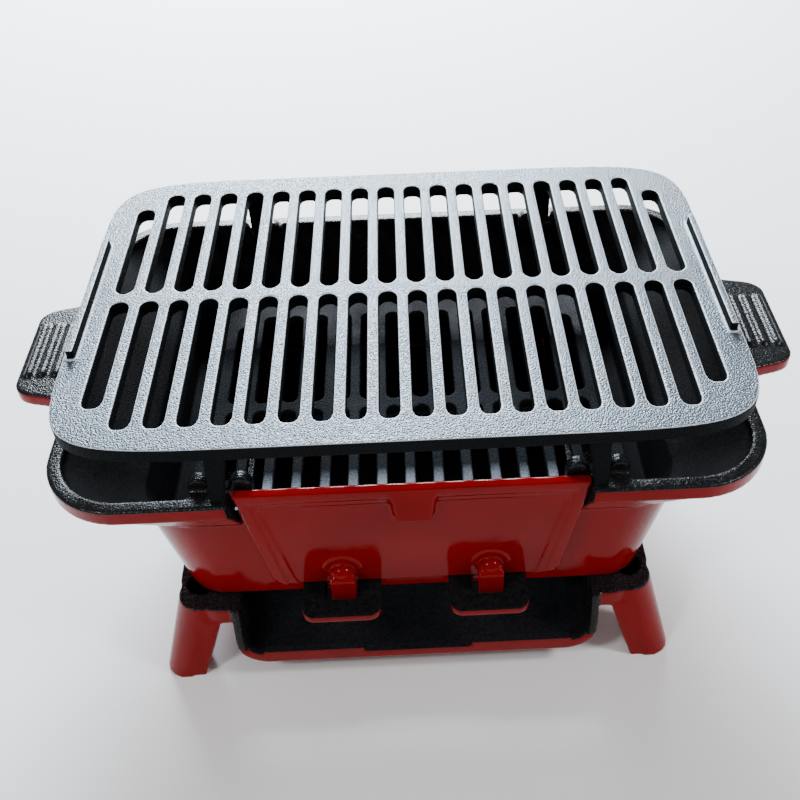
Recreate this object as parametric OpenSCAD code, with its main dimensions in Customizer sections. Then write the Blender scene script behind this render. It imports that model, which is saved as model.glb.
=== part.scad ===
// Cast-iron hibachi grill: a base with an ash tray, a fire bowl that stands on it,
// a coal grate low in the bowl, a drop-front fuel door and a cooking grate on top.
// Front is -Y, left to right is X, and the feet stand on Z = 0.

/* [Cooking grate] */
// Length of the cooking grate, left to right
grate_l = 434; // [420:1:440]
// Depth of the cooking grate, front to back
grate_w = 293; // [284:1:296]
// Thickness of the cooking grate plate
grate_t = 10; // [6:0.5:12]
// Squareness of the grate outline, higher is squarer
grate_square = 8; // [6:1:14]
// Distance from one slot to the next
slot_pitch = 20; // [18:0.5:20.5]
// Number of slots in each of the two rows
slot_count = 20; // [12:2:20]
// Width of a slot
slot_w = 12.2; // [8:0.1:14]
// Width of the bar between the front and back rows of slots
mid_bar = 9.2; // [6:0.2:16]
// Distance from the middle of the grate to the far end of a slot
slot_reach = 127; // [110:1:130]
// Height of the two raised ribs along the short edges
edge_rib_h = 7; // [3:0.5:10]
// Length of the two raised ribs
edge_rib_l = 124; // [60:1:150]

/* [Fire bowl] */
// Length of the rim, left to right, without the handles
rim_l = 455; // [440:1:470]
// Depth of the rim, front to back
rim_w = 310; // [306:1:320]
// Corner radius of the rim
rim_r = 50; // [40:1:60]
// Width of the raised band round the rim
band_w = 9.5; // [8:0.5:12]
// Height of the band seen from the side
band_h = 12; // [10:0.5:16]
// Distance between the ends of the two handles
handle_span = 533; // [520:1:550]
// Wall thickness of the castings
wall = 5.5; // [4.5:0.5:6.5]
// Height of the fold where the bowl flares out to the rim
fold_z = 150; // [144:1:156]
// Length of the bowl at the fold
fold_l = 360; // [354:1:364]
// Depth of the bowl at the fold
fold_w = 275; // [272:1:278]
// Length of the bowl where it stands on the base
foot_l = 320; // [314:1:322]
// Depth of the bowl where it stands on the base
foot_w = 262; // [260:1:265]

/* [Fuel door] */
// Width of the door at its top edge
door_top_w = 218; // [206:1:220]
// Width of the door at its bottom edge
door_foot_w = 191; // [176:1:192]
// Thickness of the door panel
door_t = 4.5; // [3.5:0.5:5]
// Height of the raised border above the panel
door_border_h = 2; // [1:0.5:3]

/* [Coal grate] */
// Length of the coal grate
coal_l = 306; // [290:1:308]
// Depth of the coal grate
coal_w = 246; // [240:1:248]
// Thickness of the coal grate
coal_t = 8; // [5:0.5:10]
// Number of slots in each row of the coal grate
coal_slots = 14; // [8:2:14]

/* [Base] */
// Length of the base ledge
ledge_l = 330; // [326:1:336]
// Depth of the base ledge
ledge_w = 292; // [288:1:296]
// Height of the skirt round the base ledge
skirt_h = 15; // [10:1:20]
// Inside width of the ash tray
tray_w = 242; // [230:1:244]
// Height of the underside of the ash tray above the ground
tray_z = 20; // [14:1:26]
// How far the ash tray reaches in front of the ledge
tray_reach = 11; // [6:1:12]

/* [Levels] */
// Height of the top of the cooking grate
top_z = 229; // [226:1:236]
// Height of the top of the rim
rim_z = 187; // [185:1:190]
// Height of the top of the base ledge, where the bowl stands
ledge_z = 69; // [66:1:71]
// Height of the top of the coal grate
coal_z = 121; // [118:1:126]

/* [Hidden] */
$fn = 64;
e = 0.01;                       // small overlap that keeps a cut clean

enamel = [0.62, 0.05, 0.04];
iron = [0.13, 0.13, 0.14];

// Heights worked out from the levels
band_z = rim_z - band_h;        // underside of the band round the rim
coal_seat_z = coal_z - coal_t;
seat_t = 6;                     // thickness of the seat under the coal grate

// The front wall leans out by this much for each millimetre it rises
lean = (fold_w - foot_w) / 2 / (fold_z - ledge_z);

// Hinge lugs on the bowl, and the hooks of the door that hang in them
lug_x = 49.5;
lug_w = 53;
lug_t = 6.5;
lug_z = 84;                     // top face of the lugs
lug_reach = 165;                // from the middle of the bowl to the lug front
lug_r = 8;
hook_w = 17;
hook_t = 6;
hinge_y = -146;
hinge_z = lug_z + 4;
slot_front = hinge_y - 4.6;     // front and back edge of the slot in a lug
slot_back = hinge_y + 10.4;

// The fuel door and the opening that it covers
door_gap = 0.6;                 // between the back of the door and the wall
door_shift = 1.5;               // the hooks have play, and the door hangs a little to the right
door_room = 2.8;                // beside the door, where the band and the blocks are cut
door_z0 = lug_z + 2.5;
door_z1 = rim_z + 1;
room_h = door_z1 - door_z0 + 20;
room_top_w = door_foot_w + (door_top_w - door_foot_w) * room_h / (room_h - 20);
border_w = 8;
grip_w = 29;                    // finger grip, at the top edge
grip_h = 28;
grip_t = 7;
cut_z = 104;                    // bottom of the fuel opening
cut_foot_w = 166;
cut_top_w = 197;

// Notches for the legs of the cooking grate
notch_x = 115.3;
notch_w = 11;
bump_w = 14;
bump_h = 9;                     // height of a bump above the rim
bump_t = 8;
bump_back = 132;                // from the middle of the bowl to the back of a bump
grate_leg_w = 13.7;             // at the plate, and at the tip
grate_leg_tip = 8;
grate_leg_x = 120;              // the upright outer edge of a leg

// Base
leg_top = [147, 127.5];         // middle of a leg at the ledge and at the ground
leg_foot = [168, 138.8];
leg_top_r = 17;
leg_foot_r = 14.8;
leg_web_top = [135.5, 146];     // inner corner of a leg under the ledge and at the ground
leg_web_foot = [154.5, 152.5];
pocket_top = [149.5, 121];      // middle of the hollow in a leg at the ledge
pocket_r = 9.5;
lip_h = 8;                      // height of the lip above the floor of the tray
tray_r = 18;

// The origin is under the middle of the whole depth, from lug front to rim back
y_shift = (lug_reach - rim_w / 2) / 2;

// Half the depth of the bowl at a height below the fold
function wall_y(z) = foot_w / 2 + lean * (z - ledge_z);

// A value to a power that keeps its sign
function power(v, p) = sign(v) * pow(abs(v), p);

// ---------- shapes that repeat ----------

// A rectangle with round corners, centred on the origin
module rounded_rect(l, w, r) {
    square([l - 2 * r, w], center = true);
    square([l, w - 2 * r], center = true);
    for (x = [-1, 1], y = [-1, 1])
        translate([x * (l / 2 - r), y * (w / 2 - r)]) circle(r);
}

// A rectangle with soft corners and slightly bowed sides
module bowed_rect(l, w, squareness) {
    steps = 120;
    polygon([for (i = [0 : steps - 1]) let (a = 360 * i / steps)
        [l / 2 * power(cos(a), 2 / squareness), w / 2 * power(sin(a), 2 / squareness)]]);
}

// A flat plate with round corners, from z up
module plate(l, w, r, z, h) {
    translate([0, 0, z]) linear_extrude(h) rounded_rect(l, w, r);
}

// A slot with round ends along Y, from y0 to y1
module long_slot(x, y0, y1, w, z, h) {
    translate([x, 0, z]) {
        translate([-w / 2, y0 + w / 2, 0]) cube([w, y1 - y0 - w, h]);
        for (y = [y0 + w / 2, y1 - w / 2])
            translate([0, y, 0]) cylinder(h = h, d = w);
    }
}

// Two rows of slots; the outermost ones stop short of the round corners
module slot_rows(count, reach, short_reach, z, h) {
    for (i = [0 : count - 1]) {
        far = (i == 0 || i == count - 1) ? short_reach : reach;
        x = (i - (count - 1) / 2) * slot_pitch;
        long_slot(x, -far, -mid_bar / 2, slot_w, z, h);
        long_slot(x, mid_bar / 2, far, slot_w, z, h);
    }
}

// A trapezoid in the XZ plane, thick along Y from y backwards
module trapezoid(w0, w1, z0, z1, y, t) {
    translate([0, y + t, 0]) rotate([90, 0, 0]) linear_extrude(t)
        polygon([[-w0 / 2, z0], [w0 / 2, z0], [w1 / 2, z1], [-w1 / 2, z1]]);
}

// Mirrored copies, left and right
module both_sides() {
    children();
    mirror([1, 0, 0]) children();
}

// Mirrored copies, front and back
module both_ends() {
    children();
    mirror([0, 1, 0]) children();
}

// Everything is drawn about the middle of the bowl, then moved over the origin
module placed() {
    translate([0, y_shift, 0]) children();
}

// ---------- cooking grate ----------

// A leg that tapers on its inner side, leans out and stands on the rim between two bumps
module grate_leg() {
    under = top_z - grate_t + e;
    intersection() {
        translate([0, 160, 0]) rotate([90, 0, 0]) linear_extrude(40)
            polygon([[grate_leg_x - grate_leg_tip, rim_z], [grate_leg_x, rim_z],
                     [grate_leg_x, under], [grate_leg_x - grate_leg_w, under]]);
        translate([100, 0, 0]) rotate([90, 0, 90]) linear_extrude(30)
            polygon([[bump_back + 6, rim_z], [bump_back + 19, rim_z],
                     [bump_back + 12.5, under], [bump_back + 3.5, under]]);
    }
}

module cooking_grate() {
    under = top_z - grate_t;
    color(iron) placed() {
        difference() {
            translate([0, 0, under]) linear_extrude(grate_t)
                bowed_rect(grate_l, grate_w, grate_square);
            slot_rows(slot_count, slot_reach, slot_reach - 19, under - 1, grate_t + 2);
        }
        both_sides() {
            translate([grate_l / 2 - 8.5, -edge_rib_l / 2, top_z - e])
                cube([5, edge_rib_l, edge_rib_h + e]);
            both_ends() grate_leg();
        }
    }
}

// ---------- coal grate ----------

module coal_grate() {
    color(iron) placed() difference() {
        plate(coal_l, coal_w, 24, coal_seat_z, coal_t);
        slot_rows(coal_slots, coal_w / 2 - 14, coal_w / 2 - 26, coal_seat_z - 1, coal_t + 2);
    }
}

// ---------- fire bowl ----------

// The steep lower part of the bowl, up to the fold; grow adds to every side
module lower_funnel(z0, z1, grow) {
    k0 = (z0 - ledge_z) / (fold_z - ledge_z);
    k1 = (z1 - ledge_z) / (fold_z - ledge_z);
    hull() for (s = [[z0, k0], [z1 - e, k1]])
        plate(foot_l + (fold_l - foot_l) * s[1] + 2 * grow,
              foot_w + (fold_w - foot_w) * s[1] + 2 * grow, 30 + 12 * s[1] + grow, s[0], e);
}

// The flared upper part of the bowl: from the fold, grown on every side, to an outline
// that lies this far inside the rim at height z1
module upper_flare(grow, inset, z1) {
    hull() {
        plate(fold_l + 2 * grow, fold_w + 2 * grow, 42 + grow, fold_z - e, e);
        plate(rim_l - 2 * inset, rim_w - 2 * inset, rim_r - inset, z1 - e, e);
    }
}

// One end handle: a tab with sloping sides, round corners and raised grip ridges
module handle() {
    root = rim_l / 2 - band_w / 2;
    tip = handle_span / 2;
    corner = 14;
    translate([0, 0, band_z + 1]) linear_extrude(band_h - 2) {
        polygon([[root, -54], [tip - corner + 3, -46], [tip, -46 + corner],
                 [tip, 46 - corner], [tip - corner + 3, 46], [root, 54]]);
        for (side = [-1, 1])
            translate([tip - corner, side * (46 - corner)]) circle(corner);
    }
    for (i = [0 : 3])
        long_slot(tip - 35 + i * 9.3, -28, 28, 4.4, rim_z - 1 - e, 2.4);
}

// A block inside the band with two round-topped bumps and a notch between them
module notch_bumps() {
    width = notch_w + 2 * bump_w;
    block_t = rim_w / 2 - band_w - bump_back + 1;
    block_h = 18;
    translate([notch_x - width / 2, bump_back, rim_z - block_h])
        cube([width, block_t, block_h]);
    for (x = [-1, 1]) translate([notch_x + x * (notch_w + bump_w) / 2, bump_back, rim_z - e]) {
        translate([-bump_w / 2, 0, 0]) cube([bump_w, bump_t, bump_h - bump_w / 2 + e]);
        translate([0, bump_t, bump_h - bump_w / 2]) rotate([90, 0, 0])
            cylinder(h = bump_t, d = bump_w);
    }
}

// A lug that carries one hook of the door, with its slot
module hinge_lug() {
    back = wall_y(lug_z - lug_t) - wall / 2;
    difference() {
        translate([lug_x, 0, lug_z - lug_t]) linear_extrude(lug_t) {
            translate([-lug_w / 2, lug_r - lug_reach])
                square([lug_w, lug_reach - lug_r - back]);
            translate([-lug_w / 2 + lug_r, -lug_reach]) square([lug_w - 2 * lug_r, lug_r + e]);
            for (x = [-1, 1])
                translate([x * (lug_w / 2 - lug_r), lug_r - lug_reach]) circle(lug_r);
        }
        translate([lug_x - hook_w / 2 - 2, slot_front, lug_z - lug_t - 1])
            cube([hook_w + 4, slot_back - slot_front, lug_t + 2]);
    }
}

// The space inside the bowl, above and below the seat of the coal grate
module bowl_inside() {
    upper_flare(-wall, band_w, rim_z - 4);
    plate(rim_l - 2 * band_w, rim_w - 2 * band_w, rim_r - band_w, rim_z - 4 - e, 5);
    lower_funnel(coal_seat_z, fold_z, -wall);
    lower_funnel(ledge_z - 1, coal_seat_z - seat_t, -wall);
    plate(coal_l - 12, coal_w - 12, 20, coal_seat_z - seat_t - 1, seat_t + 2);
}

module fire_bowl() {
    color(enamel) placed() difference() {
        union() {
            difference() {
                union() {
                    plate(rim_l, rim_w, rim_r, band_z, band_h);
                    lower_funnel(ledge_z, fold_z, 0);
                    upper_flare(0, 1.5, band_z + 1);
                }
                bowl_inside();
            }
            both_sides() {
                handle();
                hinge_lug();
                both_ends() notch_bumps();
            }
        }
        // the fuel opening in the front wall
        trapezoid(cut_foot_w, cut_top_w, cut_z, rim_z + 20, -rim_w / 2 + band_w, 60);
        // room for the door in front of the wall and through the band
        door_plane(0) trapezoid(door_foot_w + 2 * door_room, room_top_w + 2 * door_room,
                                0, room_h, -40, 40);
    }
}

// Puts a shape that is drawn upright on the sloping front wall, a gap in front of it
module door_plane(gap) {
    translate([0, -wall_y(door_z0) - gap, door_z0]) rotate([atan(lean), 0, 0]) children();
}

// ---------- fuel door ----------

// A hook that stands off the door, turns down and drops into the slot of its lug
module door_hook() {
    tail = lug_z - lug_t + 0.5;
    shoulder = hinge_z + 10;
    translate([lug_x - hook_w / 2, hinge_y, 0]) {
        translate([0, -hook_t / 2, tail]) cube([hook_w, hook_t, shoulder - tail]);
        translate([0, 0, shoulder]) rotate([0, 90, 0]) cylinder(h = hook_w, d = hook_t);
        translate([0, 0, shoulder - 4]) cube([hook_w, 8, 7]);
    }
}

module fuel_door() {
    h = (door_z1 - door_z0) / cos(atan(lean));
    face = -door_t - door_border_h;
    color(enamel) placed() translate([door_shift, 0, 0]) {
        door_plane(door_gap) {
            trapezoid(door_foot_w, door_top_w, 0, h, -door_t, door_t);
            difference() {
                trapezoid(door_foot_w, door_top_w, 0, h, face, door_border_h + e);
                trapezoid(door_foot_w - 2 * border_w, door_top_w - 2 * border_w,
                          -1, h - border_w, face - 1, door_border_h + 1);
            }
            // finger grip at the top of the door, thickest at its lower edge
            intersection() {
                trapezoid(grip_w - 6, grip_w, h - grip_h, h, -20, 20);
                rotate([90, 0, 90]) linear_extrude(60, center = true)
                    polygon([[-door_t + e, h - grip_h], [-door_t - grip_t, h - grip_h],
                             [face, h], [-door_t + e, h]]);
            }
        }
        both_sides() door_hook();
    }
}

// ---------- base ----------

// A stretch of the ash tray along Y: a wide U with round bottom corners
module tray_block(w, r, z0, y0, y1) {
    translate([0, y1, z0]) rotate([90, 0, 0]) linear_extrude(y1 - y0) {
        translate([-w / 2 + r, 0]) square([w - 2 * r, r + e]);
        translate([-w / 2, r]) square([w, 90]);
        for (x = [-1, 1]) translate([x * (w / 2 - r), r]) circle(r);
    }
}

// A tapered round column between two points in plan, from the ledge down to the ground
module column(top, foot, top_r, foot_r) {
    d = [foot.x - top.x, foot.y - top.y, -ledge_z];
    reach = norm(d);
    translate([top.x, top.y, ledge_z]) rotate([0, acos(d.z / reach), atan2(d.y, d.x)])
        translate([0, 0, -10]) rotate(40) cylinder(h = reach + 20, r1 = top_r, r2 = foot_r);
}

// The room between two heights where the columns are kept
module leg_room(z0, z1) {
    translate([100, 80, z0]) cube([110, 100, z1 - z0]);
}

// A splayed leg, with a web that gives it a square corner towards the tray
module splayed_leg() {
    intersection() {
        column(leg_top, leg_foot, leg_top_r, leg_foot_r);
        leg_room(0, ledge_z);
    }
    hull() {
        translate([leg_web_top.x, leg_web_top.y - 14, ledge_z - skirt_h + 2]) cube([16, 14, e]);
        translate([leg_web_foot.x, leg_web_foot.y - 12, 0]) cube([12, 12, e]);
    }
}

module base() {
    front = -ledge_w / 2 - tray_reach;
    back = ledge_w / 2 - 14;
    floor_z = tray_z + wall;
    color(enamel) placed() {
        difference() {
            union() {
                difference() {
                    plate(ledge_l, ledge_w, 32, ledge_z - skirt_h, skirt_h);
                    plate(ledge_l - 2 * wall, ledge_w - 2 * wall, 32 - wall,
                          ledge_z - skirt_h - 1, skirt_h - wall + 1);
                }
                intersection() {
                    tray_block(tray_w + 2 * wall, tray_r + wall, tray_z, front, back + wall);
                    translate([-200, -200, 0]) cube([400, 400, ledge_z]);
                }
                both_sides() both_ends() splayed_leg();
            }
            // the inside of the tray, open at the top and over the low lip in front
            tray_block(tray_w, tray_r, floor_z, front + wall, back);
            tray_block(tray_w, tray_r, floor_z + lip_h - 4, front - 1, front + wall + 1);
            // the front edges of the tray walls slope back up to the ledge
            translate([0, front, floor_z + lip_h]) rotate([-14, 0, 0])
                translate([-200, -30, 0]) cube([400, 30, 80]);
            // hollows in the tops of the legs
            both_sides() both_ends() intersection() {
                column(pocket_top, leg_foot, pocket_r, 7);
                leg_room(8, ledge_z + 1);
            }
        }
        // raised stretches of the lip
        both_sides() translate([38, front, floor_z + lip_h - 4 - e]) cube([70, wall, 4]);
    }
}

base();
fire_bowl();
coal_grate();
fuel_door();
cooking_grate();
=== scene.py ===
import math

import bmesh
import bpy
import numpy as np
from mathutils import Matrix, Vector


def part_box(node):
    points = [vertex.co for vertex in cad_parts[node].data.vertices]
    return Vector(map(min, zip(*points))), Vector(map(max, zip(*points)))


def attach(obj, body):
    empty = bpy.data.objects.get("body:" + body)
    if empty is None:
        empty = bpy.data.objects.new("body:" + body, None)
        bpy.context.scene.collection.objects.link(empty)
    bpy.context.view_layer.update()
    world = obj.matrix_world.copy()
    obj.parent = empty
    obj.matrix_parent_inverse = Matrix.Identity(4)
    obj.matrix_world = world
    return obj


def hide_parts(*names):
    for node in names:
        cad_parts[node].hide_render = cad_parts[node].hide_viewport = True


MM = 0.001
MOST_TRIANGLES = 195_000                   # in one piece

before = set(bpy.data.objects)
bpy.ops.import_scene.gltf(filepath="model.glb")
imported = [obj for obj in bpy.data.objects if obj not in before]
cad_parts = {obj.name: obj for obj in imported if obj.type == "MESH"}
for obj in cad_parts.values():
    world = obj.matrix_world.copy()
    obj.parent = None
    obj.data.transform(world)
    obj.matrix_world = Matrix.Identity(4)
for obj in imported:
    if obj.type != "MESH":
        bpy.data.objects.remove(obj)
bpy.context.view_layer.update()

# ---------- levels and places, from the frame ----------

grate_lo, grate_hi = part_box("cooking_grate")
base_lo, base_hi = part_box("base")
door_lo, door_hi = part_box("fuel_door")

MID_Y = (grate_lo.y + grate_hi.y) / 2      # middle of the bowl, front to back
RIM_TOP = door_hi.z - 1 * MM               # top of the band round the bowl
LEDGE_TOP = base_hi.z                      # where the bowl stands
FOLD_Z = 150 * MM                          # where the bowl flares out
FOOT_DEPTH = 262 * MM                      # of the bowl where it stands
FOLD_DEPTH = 275 * MM                      # of the bowl at the fold
# the lean of the bowl's front wall and of the door on it
LEAN = math.atan((FOLD_DEPTH - FOOT_DEPTH) / 2 / (FOLD_Z - LEDGE_TOP))

# The door has its own frame, from the middle of its foot: x to the right, y to the back, z up along it.
HOOK_X = 49.5 * MM                         # middle of a hook
HOOK_Z = 16.5 * MM                         # middle of the boss on a hook
FOOT_HALF = 95.5 * MM                      # half the door's width at its foot
HEAD_HALF = 109 * MM                       # and at its head
DOOR_FOOT = Vector(((door_lo.x + door_hi.x) / 2, MID_Y - 133 * MM, door_lo.z + 8.5 * MM))
DOOR_RISE = (door_hi.z - DOOR_FOOT.z) / math.cos(LEAN)     # from its foot to its head
DOOR_TILT = Matrix.Translation(DOOR_FOOT) @ Matrix.Rotation(LEAN, 4, "X")

# The base is measured from its middle. Each leg has a tapered hollow in it.
TRAY_SIDE = 123.5 * MM                     # just past the inner side faces of the tray
TRAY_BACK = 134.5 * MM                     # just past its inner back face
TRAY_FLOOR = 23 * MM                       # just under its floor
HOLLOW_TOP = (149.5 * MM, 121 * MM)        # middle of a hollow, in plan, at the ledge
HOLLOW_FOOT = (168 * MM, 138.8 * MM)       # and at the ground
HOLLOW_FOOT_RADIUS = 7 * MM
HOLLOW_TAPER = 2.5 * MM                    # how much larger its radius is at the ledge


# ---------- coats and colours ----------

BARE, SOOTY = -1, -4                       # paint values; above 0 is enamel
LIT_EDGE_WIDTH = 30 * MM                       # along the front and the back of a grate, left lit; painted shade darkens the top faces beyond it

RED_DARK, RED_LIGHT = (0.175, 0.0010, 0.0016), (0.225, 0.0016, 0.0024)
BLACK_DARK, BLACK_LIGHT = (0.003, 0.003, 0.0034), (0.012, 0.012, 0.014)
# painted shade: the near-black of a grate's side faces and of its shaded top faces
SHADE_BLACK = (0.002, 0.002, 0.002)
# painted highlight: a pale grey along the rounded edges of a grate's bars
EDGE_HIGHLIGHT_GREY = (0.74, 0.79, 0.86)
COOL_SHINE = (0.72, 0.87, 1.0, 1)


# ---------- meshes ----------

def cad_copy(node):
    """The welded solid of a CAD node, as a bmesh to add to and remesh."""
    bm = bmesh.new()
    bm.from_mesh(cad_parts[node].data)
    bmesh.ops.remove_doubles(bm, verts=bm.verts, dist=1e-6)
    return bm


def add_tube(bm, path, radius, sides=12):
    """Adds a round bar with closed ends along a list of points."""
    rings = []
    for i, p in enumerate(path):
        ahead = (path[min(i + 1, len(path) - 1)] - path[max(i - 1, 0)]).normalized()
        side = ahead.cross(Vector((0, 1, 0)))
        if side.length < 1e-3:
            side = ahead.cross(Vector((1, 0, 0)))
        side.normalize()
        up = side.cross(ahead)
        rings.append([bm.verts.new(p + radius * (math.cos(a) * side + math.sin(a) * up))
                      for a in (2 * math.pi * k / sides for k in range(sides))])
    for a, b in zip(rings, rings[1:]):
        for k in range(sides):
            m = (k + 1) % sides
            bm.faces.new((a[k], a[m], b[m], b[k]))
    bm.faces.new(rings[0][::-1])
    bm.faces.new(rings[-1])


def add_ellipsoid(bm, centre, radii):
    """Adds a closed ellipsoid, its axes along X, Y and Z."""
    place = Matrix.Translation(centre) @ Matrix.Diagonal((*radii, 1))
    bmesh.ops.create_icosphere(bm, subdivisions=3, radius=1, matrix=place)


def settle(piece):
    """Applies a piece's modifiers to its mesh."""
    depsgraph = bpy.context.evaluated_depsgraph_get()
    done = bpy.data.meshes.new_from_object(piece.evaluated_get(depsgraph))
    piece.modifiers.clear()
    piece.data = done
    done.name = piece.name


def cast(name, bm, voxel, rounds):
    """Makes a cast piece: one closed surface with every edge and corner softened."""
    bmesh.ops.recalc_face_normals(bm, faces=bm.faces)
    mesh = bpy.data.meshes.new(name)
    bm.to_mesh(mesh)
    bm.free()
    piece = bpy.data.objects.new(name, mesh)
    bpy.context.scene.collection.objects.link(piece)
    remesh = piece.modifiers.new("cast", "REMESH")
    remesh.mode = "VOXEL"
    remesh.voxel_size = voxel
    smooth = piece.modifiers.new("soften", "SMOOTH")
    smooth.factor = 0.5
    smooth.iterations = rounds
    settle(piece)
    triangles = 2 * len(piece.data.polygons)
    if triangles > MOST_TRIANGLES:
        thin = piece.modifiers.new("thin", "DECIMATE")
        thin.ratio = MOST_TRIANGLES / triangles
        settle(piece)
    piece.data.polygons.foreach_set("use_smooth", [True] * len(piece.data.polygons))
    return piece


def soften(piece, where, rounds):
    """Rounds the chosen part of a piece further."""
    bm = bmesh.new()
    bm.from_mesh(piece.data)
    chosen = [v for v in bm.verts if where(v.co)]
    for _ in range(rounds):
        bmesh.ops.smooth_vert(bm, verts=chosen, factor=0.5,
                              use_axis_x=True, use_axis_y=True, use_axis_z=True)
    bm.to_mesh(piece.data)
    bm.free()


def points_and_normals(mesh):
    """The places and the normals of a mesh's vertices, as two arrays of rows (x, y, z)."""
    co = np.empty(len(mesh.vertices) * 3, np.float32)
    no = np.empty(len(mesh.vertices) * 3, np.float32)
    mesh.vertices.foreach_get("co", co)
    mesh.vertices.foreach_get("normal", no)
    return co.reshape(-1, 3).astype(float), no.reshape(-1, 3).astype(float)


def paint(piece, value):
    """Stores one value a vertex, which the material reads as the paint attribute."""
    layer = piece.data.attributes.new("paint", "FLOAT", "POINT")
    layer.data.foreach_set("value", value.astype(np.float32))


def finish_piece(piece, body, slot, material, *nodes):
    """Gives a piece its material and its body, and hides the CAD nodes that it stands for."""
    piece.data.materials.clear()
    piece.data.materials.append(material)
    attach(piece, body)
    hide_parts(*nodes)


# ---------- materials ----------

def new_material(name):
    """A new material, its node tree and its Principled shader."""
    material = bpy.data.materials.new(name)
    material.use_nodes = True
    tree = material.node_tree
    shader = tree.nodes["Principled BSDF"] if "Principled BSDF" in tree.nodes else None
    if shader is None:
        tree.nodes.clear()
        shader = tree.nodes.new("ShaderNodeBsdfPrincipled")
        out = tree.nodes.new("ShaderNodeOutputMaterial")
        tree.links.new(shader.outputs[0], out.inputs[0])
    return material, tree, shader


def noise_node(tree, coords, scale, detail=2.0, roughness=0.5):
    node = tree.nodes.new("ShaderNodeTexNoise")
    node.inputs["Scale"].default_value = scale
    node.inputs["Detail"].default_value = detail
    node.inputs["Roughness"].default_value = roughness
    tree.links.new(coords, node.inputs["Vector"])
    return node.outputs["Fac"]


def ramp(tree, value, *stops):
    """A colour ramp through (position, colour) stops; a number stands for a grey."""
    node = tree.nodes.new("ShaderNodeValToRGB")
    elements = node.color_ramp.elements
    while len(elements) < len(stops):
        elements.new(0.5)
    for element, (position, colour) in zip(elements, stops):
        element.position = position
        element.color = (*colour, 1) if isinstance(colour, tuple) else (colour,) * 3 + (1,)
    tree.links.new(value, node.inputs["Fac"])
    return node.outputs["Color"]


def mix_colour(tree, factor, a, b):
    node = tree.nodes.new("ShaderNodeMix")
    node.data_type = "RGBA"
    for socket, value in ((0, factor), (6, a), (7, b)):
        if isinstance(value, bpy.types.NodeSocket):
            tree.links.new(value, node.inputs[socket])
        elif socket == 0:
            node.inputs[0].default_value = value
        else:
            node.inputs[socket].default_value = (*value, 1)
    return node.outputs[2]


def math_node(tree, operation, *values):
    node = tree.nodes.new("ShaderNodeMath")
    node.operation = operation
    for i, value in enumerate(values):
        if isinstance(value, bpy.types.NodeSocket):
            tree.links.new(value, node.inputs[i])
        else:
            node.inputs[i].default_value = value
    return node.outputs[0]


def mix_value(tree, factor, a, b):
    node = tree.nodes.new("ShaderNodeMix")
    for socket, value in ((0, factor), (2, a), (3, b)):
        if isinstance(value, bpy.types.NodeSocket):
            tree.links.new(value, node.inputs[socket])
        else:
            node.inputs[socket].default_value = value
    return node.outputs[0]


def bump(tree, shader, height, distance):
    """Feeds a height into the shader's normal."""
    node = tree.nodes.new("ShaderNodeBump")
    node.inputs["Strength"].default_value = 1.0
    node.inputs["Distance"].default_value = distance
    tree.links.new(height, node.inputs["Height"])
    tree.links.new(node.outputs["Normal"], shader.inputs["Normal"])


def grain(tree, coords):
    """The orange peel of sand-cast iron: soft pimples with a little fine grit on them."""
    cells = tree.nodes.new("ShaderNodeTexVoronoi")
    cells.feature = "SMOOTH_F1"
    cells.inputs["Scale"].default_value = 950
    tree.links.new(coords, cells.inputs["Vector"])
    pimples = math_node(tree, "SUBTRACT", 1.0, cells.outputs["Distance"])
    fine = noise_node(tree, coords, 1000, 2.0, 0.5)
    return math_node(tree, "ADD", pimples, math_node(tree, "MULTIPLY", fine, 0.5))


def enamelled_iron(name):
    """Glossy red enamel where the paint attribute is positive, bare and then sooty iron below 0."""
    material, tree, shader = new_material(name)
    coords = tree.nodes.new("ShaderNodeTexCoord").outputs["Object"]
    layer = tree.nodes.new("ShaderNodeAttribute")
    layer.attribute_name = "paint"
    edge = noise_node(tree, coords, 220, 2.0)
    wobble = math_node(tree, "MULTIPLY", math_node(tree, "SUBTRACT", edge, 0.5), 0.5)
    shifted = math_node(tree, "ADD", layer.outputs["Fac"], wobble)
    mask = tree.nodes.new("ShaderNodeMapRange")
    mask.inputs["From Min"].default_value = -0.06
    mask.inputs["From Max"].default_value = 0.06
    tree.links.new(shifted, mask.inputs["Value"])
    coat = mask.outputs["Result"]
    bare = tree.nodes.new("ShaderNodeMapRange")
    bare.inputs["From Min"].default_value = -2.6
    bare.inputs["From Max"].default_value = -2.0
    tree.links.new(shifted, bare.inputs["Value"])
    cloud = noise_node(tree, coords, 14, 3.0)
    red = ramp(tree, cloud, (0.3, RED_DARK), (0.7, RED_LIGHT))
    speck = noise_node(tree, coords, 420, 3.0, 0.6)
    black = ramp(tree, speck, (0.3, BLACK_DARK), (0.75, BLACK_LIGHT))
    tree.links.new(mix_colour(tree, coat, black, red), shader.inputs["Base Color"])
    peel = grain(tree, coords)
    red_rough = ramp(tree, noise_node(tree, coords, 60, 3.0), (0.3, 0.09), (0.75, 0.16))
    black_rough = ramp(tree, speck, (0.3, 0.18), (0.75, 0.32))
    iron_rough = mix_colour(tree, bare.outputs["Result"], (0.6, 0.6, 0.6), black_rough)
    rough = mix_colour(tree, coat, iron_rough, red_rough)
    tree.links.new(rough, shader.inputs["Roughness"])
    soft = noise_node(tree, coords, 120, 1.0)
    red_height = math_node(tree, "ADD", math_node(tree, "MULTIPLY", soft, 0.22),
                           math_node(tree, "MULTIPLY", peel, 0.035))
    black_height = math_node(tree, "MULTIPLY", peel, 0.4)
    bump(tree, shader, mix_value(tree, coat, black_height, red_height), 0.6 * MM)
    iron_shine = mix_value(tree, bare.outputs["Result"], 0.03, 0.22)
    tree.links.new(mix_value(tree, coat, iron_shine, 0.12), shader.inputs["Specular IOR Level"])
    return material


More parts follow.
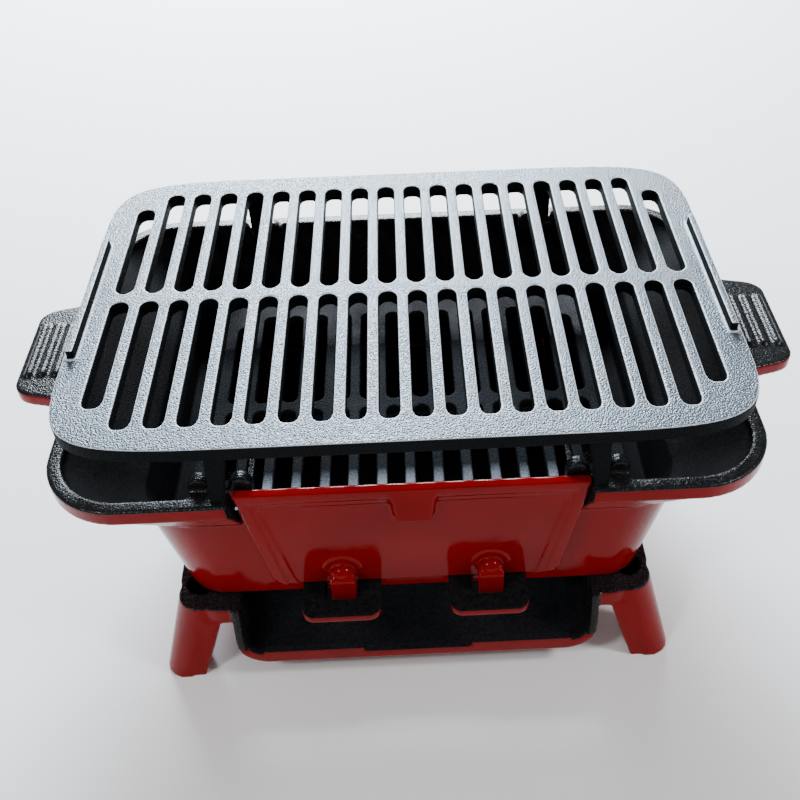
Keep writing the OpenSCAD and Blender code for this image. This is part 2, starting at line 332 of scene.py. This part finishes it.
def bare_iron(name, dark, light, rough_low, rough_high, specular, relief, edge_highlight):
    """Rough cast iron: painted light (its lit grey) where the paint attribute is high, a painted
    highlight on the rounded edges just below that, then painted shade.
    """
    material, tree, shader = new_material(name)
    coords = tree.nodes.new("ShaderNodeTexCoord").outputs["Object"]
    peel = grain(tree, coords)
    cloud = noise_node(tree, coords, 18, 4.0, 0.55)
    speck = noise_node(tree, coords, 900, 3.0, 0.6)
    tone = math_node(tree, "ADD", math_node(tree, "MULTIPLY", cloud, 0.45),
                     math_node(tree, "MULTIPLY", speck, 0.55))
    layer = tree.nodes.new("ShaderNodeAttribute")
    layer.attribute_name = "paint"
    # painted light and shade: faces that point up take the lit grey, side faces the near-black painted
    # shade
    upper = ramp(tree, layer.outputs["Fac"], (0.35, 0.0), (0.75, 1.0))
    grey = ramp(tree, tone, (0.35, dark), (0.68, light))
    soot_and_shade = mix_colour(tree, 0.04, SHADE_BLACK, grey)
    faces = mix_colour(tree, upper, soot_and_shade, grey)
    # painted highlight on the rounded edges between a bar's top and its sides
    arris = ramp(tree, layer.outputs["Fac"], (0.5, 0.0), (0.72, edge_highlight), (0.9, edge_highlight), (0.975, 0.0))
    tree.links.new(mix_colour(tree, arris, faces, EDGE_HIGHLIGHT_GREY), shader.inputs["Base Color"])
    face_rough = ramp(tree, tone, (0.3, rough_high), (0.7, rough_low))
    tree.links.new(mix_colour(tree, upper, (0.65, 0.65, 0.65), face_rough),
                   shader.inputs["Roughness"])
    bump(tree, shader, math_node(tree, "MULTIPLY", peel, relief), 0.6 * MM)
    tree.links.new(mix_value(tree, upper, 0.06, specular), shader.inputs["Specular IOR Level"])
    shader.inputs["Specular Tint"].default_value = COOL_SHINE
    return material


ENAMEL = enamelled_iron("enamel_on_iron")
# each grate's light grey is painted light on its lit tops; the coal grate's is far paler than bare iron
GRATE_IRON = bare_iron("cooking_grate_iron", (0.022, 0.027, 0.033), (0.085, 0.100, 0.120),
                       0.26, 0.42, 1.0, 0.95, 0.75)
COAL_IRON = bare_iron("coal_grate_iron", (0.03, 0.034, 0.042), (0.62, 0.68, 0.78),
                      0.45, 0.65, 0.2, 1.0, 0.0)


# ---------- castings ----------

def make_bowl():
    piece = cast("fire_bowl_casting", cad_copy("fire_bowl"), 1.15 * MM, 5)
    co, no = points_and_normals(piece.data)
    # enamel on what faces out or down, up to the bare top edge of the rim
    flat = co[:, :2] - (0, MID_Y)
    out = (flat * no[:, :2]).sum(1) / np.linalg.norm(flat, axis=1)
    under = no[:, 2] < -0.75
    side = np.where(under, 1.0, out * 3 - 0.3)
    top = (0.5 - no[:, 2]) * 3
    below_rim = (RIM_TOP - 1.6 * MM - co[:, 2]) / MM
    coat = np.minimum(np.minimum(side, top), below_rim)
    soot_and_shade = (coat < 0) & (co[:, 2] < RIM_TOP - 4 * MM)
    paint(piece, np.where(soot_and_shade, SOOTY, np.maximum(coat, BARE)))
    finish_piece(piece, "fire_bowl", "enamel", ENAMEL, "fire_bowl")


def door_outline(inset, radius, turns=8):
    """Points (x, z) on the door, a distance in from its edges, with round corners."""
    foot, head, top = FOOT_HALF - inset, HEAD_HALF - inset, DOOR_RISE - inset
    corners = ((foot, 0, -90), (head, top, 0), (-head, top, 90), (-foot, 0, 180))
    points = []
    for x, z, start in corners:
        middle_x = x - math.copysign(radius, x)
        middle_z = z - (radius if z > 0 else -radius)
        for k in range(turns + 1):
            a = math.radians(start + 90 * k / turns)
            points.append((middle_x + radius * math.cos(a), middle_z + radius * math.sin(a)))
    return points


def add_frame(bm, outer, inner, y0, y1):
    """Adds a closed flat frame between two outlines on the door, from y0 to y1."""
    rings = [[bm.verts.new(DOOR_TILT @ Vector((x, y, z))) for x, z in outline]
             for outline, y in ((outer, y0), (inner, y0), (inner, y1), (outer, y1))]
    for a, b in zip(rings, rings[1:] + rings[:1]):
        for k in range(len(a)):
            m = (k + 1) % len(a)
            bm.faces.new((a[k], a[m], b[m], b[k]))


def add_hook_boss(bm, x):
    """Adds the raised bow over a hook and the round boss on it."""
    centre = DOOR_TILT @ Vector((x, -4.5 * MM, HOOK_Z))
    first, sweep, steps = -12, 204, 24
    angles = [math.radians(first + sweep * k / steps) for k in range(steps + 1)]
    add_tube(bm, [centre + 11 * MM * Vector((math.cos(a), 0, math.sin(a))) for a in angles], 1.8 * MM)
    add_ellipsoid(bm, centre + Vector((0, -3 * MM, -4.5 * MM)), (8.6 * MM, 6 * MM, 9 * MM))


def make_door():
    bm = cad_copy("fuel_door")
    outer, inner = door_outline(7.5 * MM, 2 * MM), door_outline(13.5 * MM, 5 * MM)
    add_frame(bm, outer, inner, -5.5 * MM, -4 * MM)
    for x in (-HOOK_X, HOOK_X):
        add_hook_boss(bm, x)
    piece = cast("fuel_door_casting", bm, 0.9 * MM, 4)
    # the finger grip, and the lower corners
    soften(piece, lambda p: abs(p.x) < 20 * MM and RIM_TOP - 33 * MM < p.z < RIM_TOP - 2 * MM, 14)
    soften(piece, lambda p: abs(p.x) > 88 * MM and p.z < door_lo.z + 16 * MM, 30)
    _, no = points_and_normals(piece.data)
    paint(piece, (0.6 - no[:, 1]) * 3)     # the back is bare
    finish_piece(piece, "fuel_door", "enamel", ENAMEL, "fuel_door")


def make_base():
    piece = cast("base_casting", cad_copy("base"), 1.15 * MM, 5)
    co, no = points_and_normals(piece.data)
    x, y, z = np.abs(co[:, 0]), co[:, 1] - MID_Y, co[:, 2]
    front = base_lo.y - MID_Y
    skirt_foot = LEDGE_TOP - 8 * MM
    top = (0.5 - no[:, 2]) * 3
    # inside the tray
    inside = np.minimum(np.minimum(TRAY_SIDE - x, z - TRAY_FLOOR), y - (front + 1.5 * MM)) / MM
    inside = np.minimum(inside, (TRAY_BACK - y) / MM)
    inside = np.where((z > skirt_foot) & (y > 0), -1, inside)
    # hollows in the leg tops
    share = np.clip(z / LEDGE_TOP, 0, 1)
    axis_x = HOLLOW_FOOT[0] + (HOLLOW_TOP[0] - HOLLOW_FOOT[0]) * share
    axis_y = HOLLOW_FOOT[1] + (HOLLOW_TOP[1] - HOLLOW_FOOT[1]) * share
    radius = HOLLOW_FOOT_RADIUS + HOLLOW_TAPER * share
    away = np.hypot(x - axis_x, np.abs(y) - axis_y)
    hollow = np.where(z > 5 * MM, (radius + 1.2 * MM - away) / MM, -1)
    # the cut ends of the tray walls
    ends = (np.abs(x - TRAY_SIDE) < 4.5 * MM) & (y < front + 26 * MM)
    ends &= (no[:, 1] < -0.5) & (z > 36 * MM)
    coat = np.where(ends, BARE, np.minimum(top, np.minimum(-inside, -hollow)))
    soot_and_shade = (coat < 0) & (x < TRAY_SIDE - 2.5 * MM) & (z < skirt_foot)
    paint(piece, np.where(soot_and_shade, SOOTY, np.maximum(coat, BARE)))
    finish_piece(piece, "base", "enamel", ENAMEL, "base")


def make_grate(node, material, voxel, rounds, top_shade):
    """Makes a grate. Away from its front and back edges, its last argument darkens its top faces with
    painted shade.
    """
    piece = cast(node + "_casting", cad_copy(node), voxel, rounds)
    co, no = points_and_normals(piece.data)
    low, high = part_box(node)
    from_edge = np.minimum(co[:, 1] - low.y, high.y - co[:, 1])
    # painted shade: top faces darken from one to two edge widths in from the front and the back
    unshaded = 1 - top_shade * np.clip(from_edge / LIT_EDGE_WIDTH - 1, 0, 1)
    paint(piece, no[:, 2] * unshaded)
    finish_piece(piece, node, "iron", material, node)


make_base()
make_bowl()
make_door()
# the coal grate's tops get painted shade where the cooking grate shades them
make_grate("coal_grate", COAL_IRON, 1.15 * MM, 5, 0.75)
make_grate("cooking_grate", GRATE_IRON, 1.0 * MM, 5, 0)


# ---------- stage, light and camera ----------

def make_floor():
    bm = bmesh.new()
    bmesh.ops.create_grid(bm, x_segments=1, y_segments=1, size=15)
    mesh = bpy.data.meshes.new("floor")
    bm.to_mesh(mesh)
    bm.free()
    floor = bpy.data.objects.new("floor", mesh)
    bpy.context.scene.collection.objects.link(floor)
    material, _, shader = new_material("floor_paper")
    shader.inputs["Base Color"].default_value = (0.9, 0.9, 0.9, 1)
    shader.inputs["Roughness"].default_value = 0.8
    mesh.materials.append(material)


def area_light(name, place, target, width, height, power, colour=(1, 1, 1)):
    """A flat rectangular studio light that looks at a target."""
    light = bpy.data.lights.new(name, "AREA")
    light.shape = "RECTANGLE"
    light.size, light.size_y = width, height
    light.energy = power
    light.color = colour
    lamp = bpy.data.objects.new(name, light)
    lamp.location = place
    lamp.rotation_euler = (Vector(target) - Vector(place)).to_track_quat("-Z", "Y").to_euler()
    bpy.context.scene.collection.objects.link(lamp)


make_floor()
area_light("back_panel", (-0.2, 1.9, 1.32), (0, 0, 0.2), 1.3, 0.72, 200, (0.80, 0.91, 1.0))
area_light("back_strip", (-0.2, 2.1, 0.72), (0, 0, 0.2), 2.2, 0.12, 34)
area_light("left_box", (-1.1, -1.0, 1.7), (0, 0, 0.1), 0.3, 0.3, 16)
area_light("right_box", (1.3, -0.5, 1.5), (0, 0, 0.1), 0.3, 0.3, 16)

world = bpy.data.worlds.new("studio")
bpy.context.scene.world = world
world.use_nodes = True
world.node_tree.nodes["Background"].inputs["Color"].default_value = (1, 1, 1, 1)
world.node_tree.nodes["Background"].inputs["Strength"].default_value = 0.3

SENSOR, LENS = 36, 44.955                  # of the camera, in mm
camera_data = bpy.data.cameras.new("camera")
camera_data.sensor_width = SENSOR
camera_data.lens = LENS
camera_data.shift_x, camera_data.shift_y = -0.03775, 0.0005
camera = bpy.data.objects.new("camera", camera_data)
camera.location = (4.783 * MM, -540.891 * MM, 642.591 * MM)
camera.rotation_euler = [math.radians(angle) for angle in (46.2633, 1.1753, -2.4021)]
bpy.context.scene.collection.objects.link(camera)
bpy.context.scene.camera = camera
